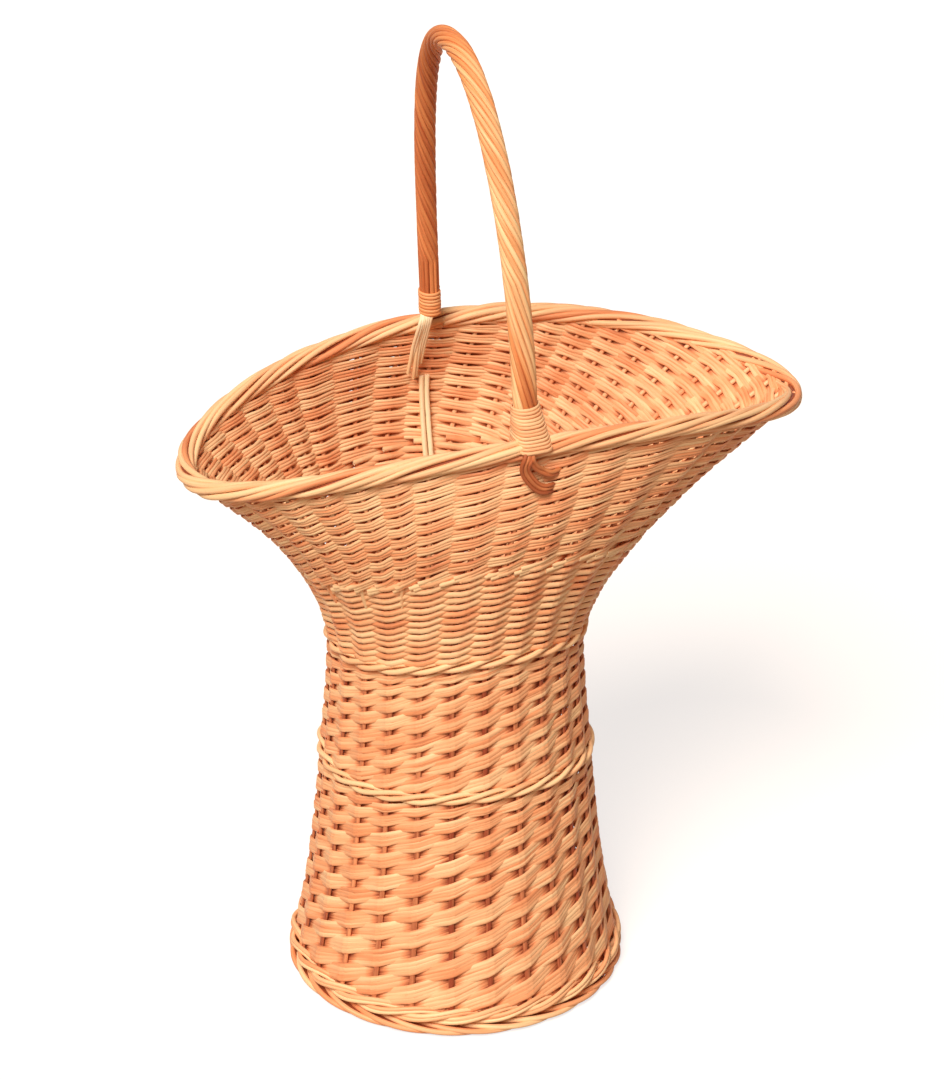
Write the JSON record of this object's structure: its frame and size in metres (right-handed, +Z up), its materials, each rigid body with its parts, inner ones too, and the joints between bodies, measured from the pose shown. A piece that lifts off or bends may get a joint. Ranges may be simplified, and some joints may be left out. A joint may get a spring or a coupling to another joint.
{
  "type": "willow market basket",
  "caption": "Tall woven willow basket with a round foot, a waisted body, a flared boat-shaped mouth and a fixed hoop handle for carrying goods.",
  "frame": {"origin": "on the floor under the middle of the mouth, at the bottom centre of the bounding box", "axes": "+Z up, +X along the mouth's long side in the direction that the mouth leans over the foot, +Y across the mouth towards the handle's back leg"},
  "size_m": [0.4558, 0.2564, 0.7134],
  "materials": {
    "pale_willow": "peeled willow, pale, smooth and slightly shiny",
    "warm_willow": "peeled willow, warm tan, slightly shiny",
    "brown_willow": "buff willow, browner, slightly shiny"
  },
  "bodies": {
    "root": {"foot_border": "brown_willow", "base_stick_1": "brown_willow", "base_stick_2": "brown_willow", "base_stick_3": "brown_willow", "base_stick_4": "brown_willow", "base_weave": "pale_willow", "stake_01": "warm_willow", "stake_02": "warm_willow", "stake_03": "warm_willow", "stake_04": "warm_willow", "stake_05": "warm_willow", "stake_06": "warm_willow", "stake_07": "warm_willow", "stake_08": "warm_willow", "stake_09": "warm_willow", "stake_10": "warm_willow", "stake_11": "warm_willow", "stake_12": "warm_willow", "stake_13": "warm_willow", "stake_14": "warm_willow", "stake_15": "warm_willow", "stake_16": "warm_willow", "stake_17": "warm_willow", "stake_18": "warm_willow", "stake_19": "warm_willow", "stake_20": "warm_willow", "stake_21": "warm_willow", "stake_22": "warm_willow", "stake_23": "warm_willow", "stake_24": "warm_willow", "stake_25": "warm_willow", "foot_wale_rod_1": "warm_willow", "foot_wale_rod_2": "warm_willow", "foot_wale_rod_3": "warm_willow", "lower_slew_1": "pale_willow", "lower_slew_2": "pale_willow", "lower_slew_3": "pale_willow", "lower_wale_rod_1": "warm_willow", "lower_wale_rod_2": "warm_willow", "lower_wale_rod_3": "warm_willow", "middle_slew_1": "pale_willow", "middle_slew_2": "pale_willow", "upper_wale_rod_1": "warm_willow", "upper_wale_rod_2": "warm_willow", "upper_wale_rod_3": "warm_willow", "neck_weave": "warm_willow", "flare_weave_1": "pale_willow", "flare_weave_2": "pale_willow", "rim_border_rod_1": "pale_willow", "rim_border_rod_2": "pale_willow", "rim_border_rod_3": "pale_willow", "handle_bow": "brown_willow", "handle_rod_1": "warm_willow", "handle_rod_2": "warm_willow", "handle_rod_3": "warm_willow", "handle_rod_4": "warm_willow", "handle_rod_5": "warm_willow", "handle_rod_6": "warm_willow", "front_binding": "pale_willow", "back_binding": "pale_willow"}
  },
  "joints": []
}
